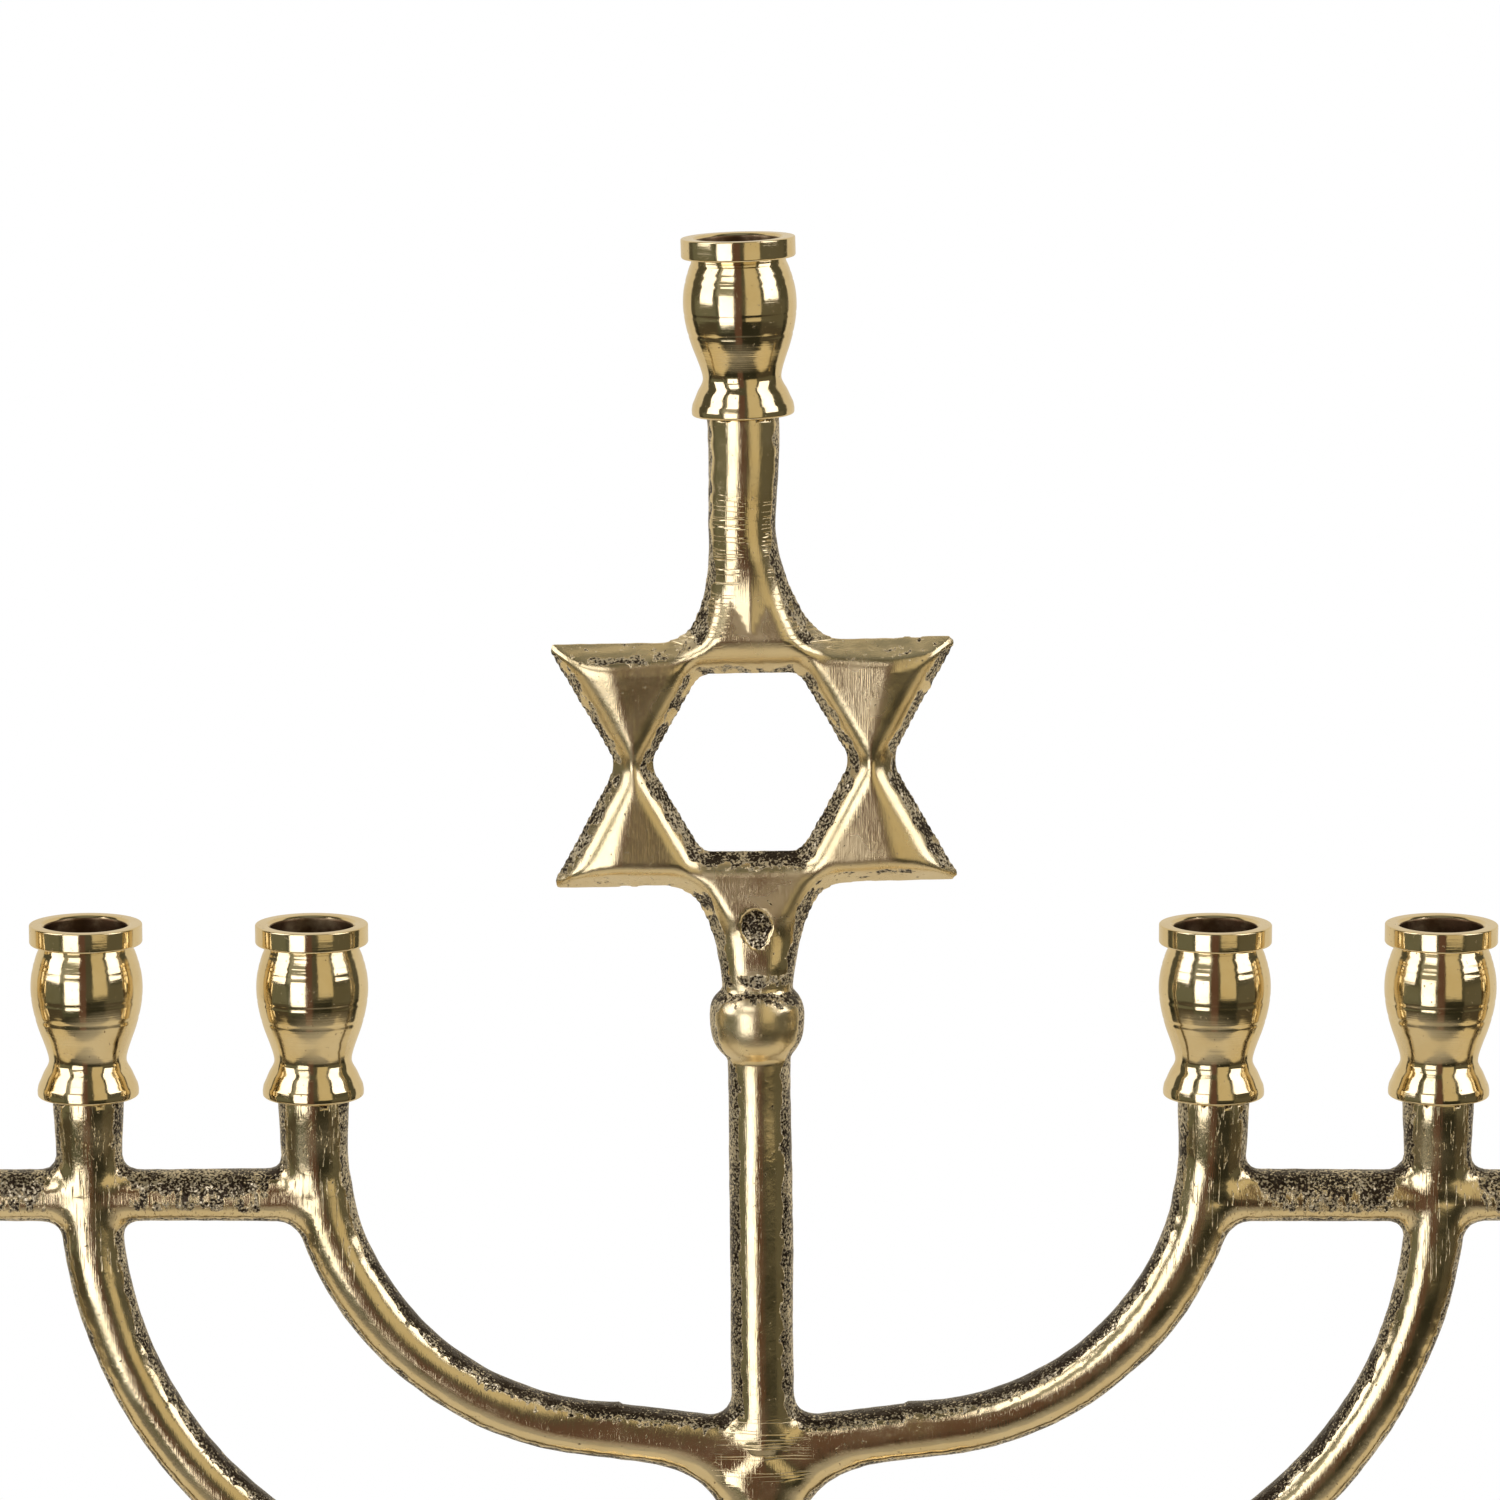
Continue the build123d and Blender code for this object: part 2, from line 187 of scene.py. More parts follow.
def star_plan(x, z):
    """The star with its stem and neck: depth inside the outline, height of its faces, star share, stem radius
    and distance along the stem."""
    u = (x - STAR_X) * cos(STAR_TURN) + (z - STAR_Z) * sin(STAR_TURN)
    v = ((z - STAR_Z) * cos(STAR_TURN) - (x - STAR_X) * sin(STAR_TURN)) / STAR_STRETCH
    outward = [u * cos(radians(angle)) + v * sin(radians(angle)) for angle in range(30, 390, 60)]
    right_up, top, left_up, left_down, bottom, right_down = [STAR_RADIUS / 2 - reach for reach in outward]
    upward = smooth_min(smooth_min(right_up, left_up, 1.0), bottom, 1.0)
    downward = smooth_min(smooth_min(right_down, left_down, 1.0), top, 1.0)
    notch_reach = 1.8 + 0.9 * ramp(v, 8, 14) + 1.0 * ramp(-v, 8, 14)
    outline = smooth_max(upward, downward, notch_reach)
    outline = smooth_min(outline, STAR_RADIUS - TIP_CUT - np.hypot(u, v), 0.5)
    slanting = np.maximum(np.minimum(np.minimum(right_up, left_up), bottom + 8),
                          np.minimum(np.minimum(right_down, left_down), top + 8))
    lean_u = (x - STAR_X) * cos(LEAN) + (z - STAR_Z) * sin(LEAN)
    lean_v = (z - STAR_Z) * cos(LEAN) - (x - STAR_X) * sin(LEAN)
    stem_radius = np.interp(lean_v, STEM_HEIGHTS, STEM_RADII)
    stem_u = lean_u - STEM_SHIFT * (1 - ramp(lean_v, 26, 42))
    stem = stem_radius - np.abs(stem_u) - np.clip(16 - lean_v, 0, None)
    outline = smooth_max(outline, stem, 3.2)
    neck = NECK_RADIUS - np.abs(x - KNOP_X) - np.clip(z - STAR_Z + 17, 0, None)
    neck = neck - np.clip(KNOP_Z + 1 - z, 0, None)
    outline = smooth_max(outline, neck, 3.4)
    hole = -1e3
    for angle in range(30, 390, 60):
        reach = (u - HOLE_SHIFT) * cos(radians(angle)) + v * sin(radians(angle))
        hole = smooth_max(hole, reach, 1.2)
    hole = hole - STAR_HOLE_RADIUS * cos(pi / 6)
    outline = smooth_min(outline, hole, 0.8)
    side_face = SIDE_HALF_DEPTH + SIDE_SLOPE * np.clip(slanting, -2, 12)
    hole_face = HOLE_HALF_DEPTH + 0.8 * ramp(v, 12, 16) + HOLE_SLOPE * np.clip(hole, -2, 14)
    faces = smooth_min(side_face, hole_face, 0.22)
    belongs = ramp(v, -25, -18) * (1 - ramp(lean_v, 19, 27))
    return outline, faces, belongs, stem_radius, lean_v


def plan(x, z):
    """The casting seen from the front: depth inside the outline, edge width, half thickness, height of the
    star's faces, star share and distance along the stem."""
    across = np.abs(x)
    column_x = 0.7 * KNOP_X * np.clip((z - JUNCTION_Z) / (KNOP_Z - JUNCTION_Z), 0, 1)
    column = COLUMN_RADIUS - np.abs(x - column_x) - np.clip(z - KNOP_Z, 0, None)
    inside = column
    arms = np.full_like(x, -1e3)
    arm_width = np.full_like(x, ARM_HALF_WIDTH)
    for number in range(4):
        arm, level_z, half_width = arm_plan(across, z, number)
        reach = 3.6 + 8.0 * ramp(level_z - z, -2, 2)
        inside = smooth_max(inside, arm, reach)
        arms = np.maximum(arms, arm)
        arm_width = half_width
    past_bar = np.clip(ARM_XS[0] - across, 0, None) + np.clip(across - ARM_XS[3], 0, None)
    bar = BAR_HALF_WIDTH - np.hypot(past_bar, z - BAR_Z)
    inside = smooth_max(inside, bar, 2.6)
    star, faces, belongs, stem_radius, lean_v = star_plan(x, z)
    inside = smooth_max(inside, star, 0.6)
    # Shares of the column, the arms, the bar and the finial in a place's section.
    shares = [np.exp(np.clip(field, -8, 8) / 0.7) for field in (column, arms, bar, star)]
    total = sum(shares)
    widths = (COLUMN_RADIUS, arm_width, BAR_HALF_WIDTH, stem_radius)
    round_tip = ramp(z, BAR_Z + 2, SEAT_Z)
    arm_depth = ARM_HALF_DEPTH + (TIP_RADIUS - ARM_HALF_DEPTH) * round_tip
    depths = (COLUMN_RADIUS, arm_depth, BAR_HALF_DEPTH, stem_radius - 0.1)
    edge = sum(share * width for share, width in zip(shares, widths)) / total
    depth = sum(share * half for share, half in zip(shares, depths)) / total
    return inside, edge, depth, faces, belongs, lean_v


def pit(x, y, z):
    """How much a place lies in the teardrop pit in the front, under the star."""
    down = (PIT_Z - z) / 2.9
    across = (x - PIT_X - 0.15 * down) / (2.15 - 0.85 * np.clip(down, -0.2, 1))
    return np.where(y < 0, 1 - ramp(np.hypot(across, down), 0.62, 0.98), 0)


def solid(x, y, z, flat=None):
    """The whole casting's field at places in space."""
    inside, edge, depth, faces, belongs, lean_v = plan(x, z) if flat is None else flat
    uneven = ripple(HAND_WAVES, x, y, z)
    inside = inside + 0.08 * uneven
    away = np.abs(y)
    thick = depth + 0.07 * uneven
    across = np.clip(1 - inside / edge, 0, None)
    rounded = edge * (1 - (across**ROUNDNESS + (away / thick) ** ROUNDNESS) ** (1 / ROUNDNESS))
    wall = (WALL_SLOPE * inside - away) / hypot(WALL_SLOPE, 1)
    faceted = smooth_min(wall, faces + 0.10 * uneven - away, 1.1)
    metal = rounded * (1 - belongs) + faceted * belongs
    radius = np.hypot(x - KNOP_X, y)
    above, below = np.clip(z - KNOP_Z, 0, None) / KNOP_ABOVE, np.clip(KNOP_Z - z, 0, None) / KNOP_BELOW
    knop = sum(share**KNOP_ROUNDNESS for share in (radius / KNOP_RADIUS, above, below))
    knop = 5.9 * (1 - knop ** (1 / KNOP_ROUNDNESS))
    metal = smooth_max(metal, knop, 0.5)
    bead = 6.3 * (1 - np.hypot(np.hypot(x, y) / BEAD_RADIUS, (z - BEAD_Z) / BEAD_HALF_HEIGHT))
    metal = smooth_max(metal, bead, 1.2)
    # The skin of the sand on the flanks, and the teardrop pit under the star.
    flank = 1 - ramp(inside, 1.0, 2.2)
    metal = metal + SKIN_DEPTH * flank * ripple(SKIN_WAVES, x, y, z)
    metal = metal - pit(x, y, z) * (PIT_DEPTH + 0.16 * ripple(PIT_WAVES, x, y, z))
    # Flat ends: the seats of the cups and the foot.
    metal = smooth_min(metal, np.where(np.abs(x) > ARM_XS[0] / 2, SEAT_Z - z, 1e3), 0.3)
    metal = smooth_min(metal, TOP_SEAT - lean_v, 0.3)
    return smooth_min(metal, z - COLUMN_FOOT_Z, 0.3)


def slope(place, step):
    """The field's gradient at places in space."""
    parts = []
    for axis in range(3):
        shift = np.zeros(3)
        shift[axis] = step
        ahead, behind = place + shift, place - shift
        parts.append((solid(*ahead.T) - solid(*behind.T)) / (2 * step))
    return np.stack(parts, axis=1)


def surface_net(values, axes):
    """Points and four-sided faces on the zero level of a field sampled on a grid."""
    inside = values > 0
    count = np.zeros([n - 1 for n in values.shape], dtype=np.int8)
    spans = [(slice(0, n - 1), slice(1, n)) for n in values.shape]
    for corner in product((0, 1), repeat=3):
        count += inside[tuple(span[c] for span, c in zip(spans, corner))]
    cells = np.argwhere((count > 0) & (count < 8))
    index = np.full(count.shape, -1, dtype=np.int64)
    index[tuple(cells.T)] = np.arange(len(cells))
    total, hits = np.zeros((len(cells), 3)), np.zeros(len(cells))
    for start in product((0, 1), repeat=3):
        for axis in range(3):
            if start[axis]:
                continue
            end = tuple(1 if i == axis else c for i, c in enumerate(start))
            ends = [cells + np.array(c) for c in (start, end)]
            low, high = (values[tuple(c.T)] for c in ends)
            low_place, high_place = (np.stack([axes[i][c[:, i]] for i in range(3)], axis=1) for c in ends)
            crossed = (low > 0) != (high > 0)
            share = (low / np.where(crossed, low - high, 1))[crossed, None]
            total[crossed] += low_place[crossed] + share * (high_place[crossed] - low_place[crossed])
            hits[crossed] += 1
    faces = []
    for axis in range(3):
        second, third = (axis + 1) % 3, (axis + 2) % 3
        low = inside[tuple(slice(0, -1) if i == axis else slice(None) for i in range(3))]
        high = inside[tuple(slice(1, None) if i == axis else slice(None) for i in range(3))]
        nodes = np.argwhere(low != high)
        nodes = nodes[(nodes[:, second] > 0) & (nodes[:, third] > 0)]
        ring = []
        for back_second, back_third in ((1, 1), (0, 1), (0, 0), (1, 0)):
            cell = nodes.copy()
            cell[:, second] -= back_second
            cell[:, third] -= back_third
            ring.append(index[tuple(cell.T)])
        ring = np.stack(ring, axis=1)
        outward = low[tuple(nodes.T)]
        faces.append(np.where(outward[:, None], ring, ring[:, ::-1]))
    return total / hits[:, None], np.concatenate(faces)


def graded(stops):
    """Grid lines from (start, spacing) stops up to the last stop."""
    lines = [stops[0][0]]
    for (start, spacing), (end, _) in zip(stops, stops[1:]):
        count = max(1, round((end - start) / spacing))
        lines += list(np.linspace(start, end, count + 1)[1:])
    return np.array(lines)


def mesh_object(name, points_mm, faces, normals=None):
    """A smooth-shaded mesh object from points in millimetres."""
    mesh = bpy.data.meshes.new(name)
    mesh.from_pydata((np.asarray(points_mm) * MM).tolist(), [], [list(map(int, face)) for face in faces])
    mesh.shade_smooth()
    if normals is not None:
        mesh.normals_split_custom_set_from_vertices(normals.tolist())
    piece = bpy.data.objects.new(name, mesh)
    bpy.context.scene.collection.objects.link(piece)
    return piece


def finishes(points, normals):
    """How much each point shows of the rough skin from the sand, of coarse filing, of slanting scratches, and
    of a soft brushed finish."""
    x, y, z = points.T
    belongs, lean_v = plan(x, z)[4:]
    ragged = 0.06 * ripple(SKIN_WAVES, x, y, z)
    facing = np.abs(normals[:, 1]) + ragged
    on_column = ramp(COLUMN_RADIUS + 1.5 - np.abs(x), -0.5, 0.5)
    on_stem = ramp(lean_v, 24, 30)
    knop = 1 - ramp(np.hypot(x - KNOP_X, z - KNOP_Z), 6.0, 7.5)
    shift = 0.12 * on_column * (1 - knop) - 0.14 * knop - 0.25 * on_stem
    round_skin = 1 - ramp(facing, 0.54 + shift, 0.74 + shift)
    # The bars are left rough above and in front, and only their undersides are polished.
    on_bar = (1 - ramp(np.abs(z - BAR_Z), 3.0, 4.5)) * ramp(ARM_XS[3] - np.abs(x), -1, 1)
    for arm_x in ARM_XS:
        on_bar = on_bar * ramp(np.abs(np.abs(x) - arm_x), 4.0, 7.0)
        on_bar = on_bar * ramp(np.abs(x), ARM_XS[0], ARM_XS[0] + 1)
    tipped = normals[:, 2] + 2 * ragged
    bar_skin = 0.48 * ramp(tipped, -0.50, -0.30) + 0.60 * ramp(tipped, 0.20, 0.50)
    round_skin = np.maximum(round_skin + 0.4 * ramp(tipped, 0.3, 0.6) * (1 - on_bar), on_bar * bar_skin)
    star_skin = 1 - ramp(facing, 0.52, 0.68)
    # The star's level outer edges are polished.
    outside_hole = ramp(np.abs(z - STAR_Z), 13, 14)
    star_skin = star_skin * (1 - 0.7 * ramp(np.abs(normals[:, 2]), 0.55, 0.8) * outside_hole)
    # The grains that face up inside the star's hole get the most dark pits.
    star_skin = star_skin + 0.4 * ramp(normals[:, 2], 0.3, 0.6) * (1 - outside_hole)
    skin = round_skin * (1 - belongs) + star_skin * belongs
    # The sand's skin also stays in the pit and in the crease above the knop.
    crease = (1 - ramp(np.abs(z - KNOP_Z - 5.0), 0.5, 1.5)) * ramp(7 - np.abs(x), -0.5, 0.5)
    skin = np.maximum(np.maximum(skin, ramp(pit(x, y, z), 0.2, 0.7)), 0.56 * crease)
    centre = np.interp(lean_v, [13, 28], [4.2, 0.8])
    flank = ramp(np.abs(x - STAR_X), centre, centre + 1.2) * (1 - ramp(np.abs(x - STAR_X), 9, 11))
    flare = ramp(lean_v, 13, 17) * (1 - ramp(lean_v, 28, 36)) * flank
    junction = (1 - ramp(np.abs(x), 4, 7)) * (1 - ramp(np.abs(z - JUNCTION_Z - 1), 2.5, 5.0))
    seats = ramp(z, BAR_Z - 12, BAR_Z - 4) * ramp(np.abs(x), ARM_XS[0] / 2, ARM_XS[0] / 2 + 1)
    return skin, np.clip(flare + 0.3 * junction, 0, 1), seats, np.maximum(belongs, knop)


def cast_branches():
    """The casting: meshed from its field, evened out, and drawn back onto the exact surface."""
    low, high = box_mm("branch_casting")
    margin = 1.2
    x_lines = graded([(low[0] - margin, 0.85), (-33, 0.55), (33, 0.85), (high[0] + margin, 0)])
    y_lines = graded([(low[1] - margin, 0.7), (high[1] + margin, 0)])
    z_lines = graded([(low[2] - margin, 0.95), (KNOP_Z - 10, 0.55), (high[2] + margin, 0)])
    x_flat, z_flat = np.meshgrid(x_lines, z_lines, indexing="ij")
    flat = [field[:, None, :] for field in plan(x_flat, z_flat)]
    values = solid(x_flat[:, None, :], y_lines[None, :, None], z_flat[:, None, :], flat)
    points, faces = surface_net(values, (x_lines, y_lines, z_lines))
    edges = np.concatenate([faces[:, [i, (i + 1) % 4]] for i in range(4)])
    for step in range(4):
        if step:
            sums, counts = np.zeros_like(points), np.zeros(len(points))
            for a, b in ((0, 1), (1, 0)):
                np.add.at(sums, edges[:, a], points[edges[:, b]])
                np.add.at(counts, edges[:, a], 1)
            points = 0.5 * points + 0.5 * sums / counts[:, None]
        for _ in range(2):
            gradient = slope(points, 0.04)
            off = solid(*points.T) / np.clip((gradient**2).sum(axis=1), 0.05, None)
            points = points - np.clip(off, -0.4, 0.4)[:, None] * gradient
    normals = -slope(points, 0.10)
    normals /= np.linalg.norm(normals, axis=1)[:, None]
    piece = mesh_object("branches", points, faces, normals)
    for name, values in zip(("skin", "filed", "scored", "brushed"), finishes(points, normals)):
        piece.data.attributes.new(name, "FLOAT", "POINT").data.foreach_set("value", values.astype(np.float32))
    return piece


# Turned pieces ------------------------------------------------------------------------------------------


def spline(points, steps):
    """A smooth curve through points, as a list of points."""
    padded = [points[0]] + list(points) + [points[-1]]
    curve = []
    for p0, p1, p2, p3 in zip(padded, padded[1:], padded[2:], padded[3:]):
        p0, p1, p2, p3 = map(np.array, (p0, p1, p2, p3))
        for t in np.linspace(0, 1, steps, endpoint=False):
            curve.append(tuple(0.5 * (2 * p1 + (p2 - p0) * t + (2 * p0 - 5 * p1 + 4 * p2 - p3) * t**2
                                      + (3 * p1 - p0 - 3 * p2 + p3) * t**3)))
    return curve + [tuple(points[-1])]


def eased(points, radius, steps=4):
    """An outline of straight stretches with its corners rounded."""
    result = [points[0]]
    for before, corner, after in zip(points, points[1:], points[2:]):
        corner = np.array(corner, dtype=float)
        arms = [np.array(side) - corner for side in (before, after)]
        lengths = [np.linalg.norm(arm) for arm in arms]
        cut = min(radius, *(length * 0.45 for length in lengths))
        start, end = (corner + arm / length * cut for arm, length in zip(arms, lengths))
        for t in np.linspace(0, 1, steps + 1):
            result.append(tuple((1 - t) ** 2 * start + 2 * t * (1 - t) * corner + t**2 * end))
    return result + [points[-1]]


def lathe(name, outline, segments, place=None):
    """A turned piece from its outline of (radius, height); ends on the axis are closed with a fan."""
    points, rings = [], []
    for number, (radius, height) in enumerate(outline):
        before = outline[number - 1]
        if number and hypot(radius - before[0], height - before[1]) < 1e-4:
            continue
        if number == len(outline) - 1 and (radius, height) == tuple(outline[0]):
            rings.append(rings[0])
            continue
        if radius < 1e-4:
            rings.append([len(points)])
            points.append((0, 0, height))
        else:
            rings.append(list(range(len(points), len(points) + segments)))
            for turn in range(segments):
                angle = 2 * pi * turn / segments
                points.append((radius * cos(angle), radius * sin(angle), height))
    faces = []
    for lower, upper in zip(rings, rings[1:]):
        for turn in range(segments):
            after = (turn + 1) % segments
            if len(lower) == 1 and len(upper) > 1:
                faces.append((lower[0], upper[after], upper[turn]))
            elif len(upper) == 1 and len(lower) > 1:
                faces.append((lower[turn], lower[after], upper[0]))
            elif len(lower) > 1:
                faces.append((lower[turn], lower[after], upper[after], upper[turn]))
    piece = mesh_object(name, points, faces)
    inner = [hypot(x, y) < CANDLE_RADIUS + 0.1 and z > CUP_HEIGHT - CANDLE_DEPTH - 1 for x, y, z in points]
    piece.data.attributes.new("inner", "FLOAT", "POINT").data.foreach_set("value", inner)
    piece.data.set_sharp_from_angle(angle=radians(40))
    if place is not None:
        piece.data.transform(place)
    return piece


def placed(node):
    """Where a cup stands: its seat, and its lean if it has one."""
    low, high = box_mm(node)
    middle = (low + high) / 2
    if not node.startswith("shamash"):
        return Matrix.Translation(Vector((middle[0], 0, SEAT_Z)) * MM)
    seat = Vector((STAR_X - TOP_SEAT * sin(LEAN), 0, STAR_Z + TOP_SEAT * cos(LEAN))) * MM
    return Matrix.Translation(seat) @ Matrix.Rotation(-LEAN, 4, "Y")


# Radii and heights in millimetres, above the cup's seat.
CUP_SIDE = [(5.98, 2.1), (5.55, 3.1), (5.05, 4.0), (4.88, 4.7), (5.06, 5.7), (5.52, 7.1), (6.1, 8.7),
            (6.58, 10.4), (6.92, 12.2), (7.04, 13.8), (6.95, 15.4), (6.65, 16.9), (6.25, 18.2), (5.86, 19.2),
            (5.78, 19.8)]
CUP_GROOVES = {10.1: 0.07, 12.55: 0.06, 16.5: 0.04, 17.55: 0.04, 18.7: 0.03}  # heights and depths
GROOVE_WIDTH = 0.13
STUD_HOLE_RADIUS, STUD_HOLE_DEPTH = 2.1, 6.2


def cup_outline(grooves):
    """A candle cup's outline, from the hole in its foot, up its side and down into its mouth."""
    side = []
    for radius, height in spline(CUP_SIDE, 7):
        for groove, depth in grooves.items():
            radius -= depth * np.exp(-(((height - groove) / GROOVE_WIDTH) ** 2))
        side.append((radius, height))
    rim = CUP_HEIGHT - RIM_HEIGHT
    foot = eased([(STUD_HOLE_RADIUS, STUD_HOLE_DEPTH), (STUD_HOLE_RADIUS, 0), (6.15, 0), (6.36, 0.2),
                  (6.38, 0.8), (6.26, 1.5), CUP_SIDE[0]], 0.15)
    top = eased([(5.78, rim), (6.95, rim), (7.1, rim + 0.2), (7.1, rim + 1.2), (7.1, CUP_HEIGHT - 0.12),
                 (7.0, CUP_HEIGHT), (5.62, CUP_HEIGHT), (CANDLE_RADIUS, CUP_HEIGHT - 0.4),
                 (CANDLE_RADIUS, CUP_HEIGHT - CANDLE_DEPTH), (0, CUP_HEIGHT - CANDLE_DEPTH - 0.6)], 0.16)
    return [(0, STUD_HOLE_DEPTH)] + foot + side[1:-1] + top


def turned_pieces():
    """The nine cups, by their lights' names."""
    pieces = {}
    for light in LIGHTS:
        grooves = {height + RANDOM.uniform(-0.25, 0.25): depth * RANDOM.uniform(0.6, 1.3)
                   for height, depth in CUP_GROOVES.items()}
        cup = lathe(f"{light}_candle_cup", cup_outline(grooves), 112, placed(f"{light}_cup"))
        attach(cup, light)
        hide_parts(f"{light}_cup")
        pieces[light] = cup
    return pieces


# The pedestal under the photographed part: radii, and heights above the foot of the casting or the table ---

FOOT_SIDE = [(12.5, 24.0), (12.9, 22.4), (15.5, 20.4), (23.0, 16.6), (35.0, 12.9), (46.0, 9.8), (51.2, 6.2)]
FOOT_HOLLOW_SIDE = [(11.0, 18.0), (14.5, 16.9), (22.0, 15.0), (33.0, 11.2), (42.0, 8.0), (46.4, 3.9),
                    (47.8, 0.0)]
FOOT_RINGS = {17.5: 0.12, 18.9: 0.14, 43.0: 0.13, 44.6: 0.13}  # radii and depths
FELT = 1.5
FOOT_LOW_Z = 1.52
BOSS_Z = 19.5  # the underside of the foot's middle
BALUSTER_LOW_Z = 29.0
BALUSTER_RINGS = {7.6: 0.10, 13.2: 0.12, 15.0: 0.12}  # heights and depths
ROD_HOLE_RADIUS = 2.8


def baluster_outline():
    """The baluster's outline, from its hole, up its side and back down the hole."""
    side = [(9.1, 2.4), (7.2, 4.0), (6.65, 5.6), (7.6, 8.0), (9.3, 10.4), (10.15, 12.3), (10.35, 14.0),
            (9.9, 16.2), (8.6, 18.3), (6.6, 20.0), (5.65, 21.0), (6.0, 22.3)]
    profile = []
    for radius, height in spline(side, 9):
        for ring, depth in BALUSTER_RINGS.items():
            radius -= depth * np.exp(-(((height - ring) / 0.22) ** 2))
        profile.append((radius, BALUSTER_LOW_Z + height))
    low = eased([(ROD_HOLE_RADIUS, BALUSTER_LOW_Z), (10.35, BALUSTER_LOW_Z), (10.48, BALUSTER_LOW_Z + 0.3),
                 (10.48, BALUSTER_LOW_Z + 1.8), (10.1, BALUSTER_LOW_Z + 2.1),
                 (9.1, BALUSTER_LOW_Z + 2.4)], 0.2)
    high = eased([(6.0, COLUMN_FOOT_Z - 1.7), (6.18, COLUMN_FOOT_Z - 1.2), (6.18, COLUMN_FOOT_Z - 0.3),
                  (5.95, COLUMN_FOOT_Z), (ROD_HOLE_RADIUS, COLUMN_FOOT_Z),
                  (ROD_HOLE_RADIUS, BALUSTER_LOW_Z)], 0.15)
    return low + profile[1:-1] + high


def foot_outline():
    """The foot's outline, from its hole, over its dome, round its edge and back up its hollow."""
    profile = []
    for radius, height in spline([(r, h + FELT) for r, h in FOOT_SIDE], 12):
        for ring, depth in FOOT_RINGS.items():
            height -= depth * np.exp(-(((radius - ring) / 0.3) ** 2))
        profile.append((radius, height))
    hollow = list(reversed(spline([(r, h + FELT) for r, h in FOOT_HOLLOW_SIDE], 6)))
    hole_foot = (ROD_HOLE_RADIUS, BOSS_Z)
    top = eased([hole_foot, (ROD_HOLE_RADIUS, BALUSTER_LOW_Z), (11.3, BALUSTER_LOW_Z), (12.45, 27.9),
                 (12.5, 25.5)], 0.4)
    edge = eased([(51.2, 7.7), (52.3, 6.1), (55.0, 5.7), (55.95, 4.6), (55.98, 1.9), (55.7, FOOT_LOW_Z),
                  (47.8, FOOT_LOW_Z)], 0.35)
    return [hole_foot] + top[1:] + profile[1:-1] + edge + hollow[1:] + [hole_foot]


def pedestal():
    """The baluster and the foot."""
    pieces = []
    for name, node, outline, segments in (
        ("turned_baluster", "baluster", baluster_outline(), 120),
        ("domed_foot", "base_foot", list(reversed(foot_outline())), 200),
    ):
        piece = lathe(name, outline, segments)
        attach(piece, "stand")
        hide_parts(node)
        pieces.append(piece)
    return pieces


# Materials ----------------------------------------------------------------------------------------------


class Nodes:
    """Short ways to add and join shader nodes."""

    def __init__(self, tree):
        self.tree = tree
        tree.nodes.clear()

    def add(self, kind, inputs=(), **settings):
        """A shader node with its settings, and with its inputs set or joined."""
        node = self.tree.nodes.new("ShaderNode" + kind)
        for name, value in settings.items():
            setattr(node, name, value)
        for name, value in dict(inputs).items():
            if isinstance(value, bpy.types.NodeSocket):
                self.tree.links.new(value, node.inputs[name])
            else:
                node.inputs[name].default_value = value
        return node

    def math(self, operation, *values):
        """A sum, a product or another operation on values."""
        return self.add("Math", enumerate(values), operation=operation).outputs[0]

    def step(self, value, low, high, start=0.0, end=1.0):
        """A smooth step of a value from start, at low, to end, at high."""
        inputs = {"Value": value, "From Min": low, "From Max": high, "To Min": start, "To Max": end}
        return self.add("MapRange", inputs, interpolation_type="SMOOTHSTEP").outputs[0]

    def mix(self, share, a, b):
        """A blend of two colours."""
        node = self.add("Mix", {"Factor": share}, data_type="RGBA")
        for slot, value in ((6, a), (7, b)):
            if isinstance(value, bpy.types.NodeSocket):
                self.tree.links.new(value, node.inputs[slot])
            else:
                node.inputs[slot].default_value = (*value, 1)
        return node.outputs[2]

    def noise(self, place, scale, detail=3.0, roughness=0.55, stretch=None):
        """Noise whose features are scale millimetres across; stretch holds its axes' scales and turns."""
        if stretch:
            scales, turns = stretch
            place = self.add("Mapping", {"Vector": place, "Rotation": turns, "Scale": scales}).outputs[0]
        inputs = {"Vector": place, "Scale": 1 / (scale * MM), "Detail": detail, "Roughness": roughness}
        return self.add("TexNoise", inputs).outputs["Fac"]

    def bump(self, height, depth, normal=None):
        """A bump whose full height is depth millimetres."""
        inputs = {"Height": height, "Strength": 1.0, "Distance": depth * MM}
        if normal:
            inputs["Normal"] = normal
        return self.add("Bump", inputs).outputs[0]


def material(name, build):
    """A material whose shader takes what the build function makes for it."""
    made = bpy.data.materials.new(name)
    made.use_nodes = True
    nodes = Nodes(made.node_tree)
    shader = nodes.add("BsdfPrincipled")
    output = nodes.add("OutputMaterial")
    made.node_tree.links.new(shader.outputs[0], output.inputs[0])
    for socket, value in build(nodes).items():
        if isinstance(value, bpy.types.NodeSocket):
            made.node_tree.links.new(value, shader.inputs[socket])
        else:
            shader.inputs[socket].default_value = value
    return made


# Colours of the metal, clean, worn and tarnished.
BRASS = (0.84, 0.705, 0.445)
WARM_BRASS = (0.79, 0.64, 0.37)
OLD_BRASS = (0.74, 0.65, 0.47)
PATINA = (0.045, 0.033, 0.023)
CANDLE_GRIME = (0.13, 0.075, 0.04)


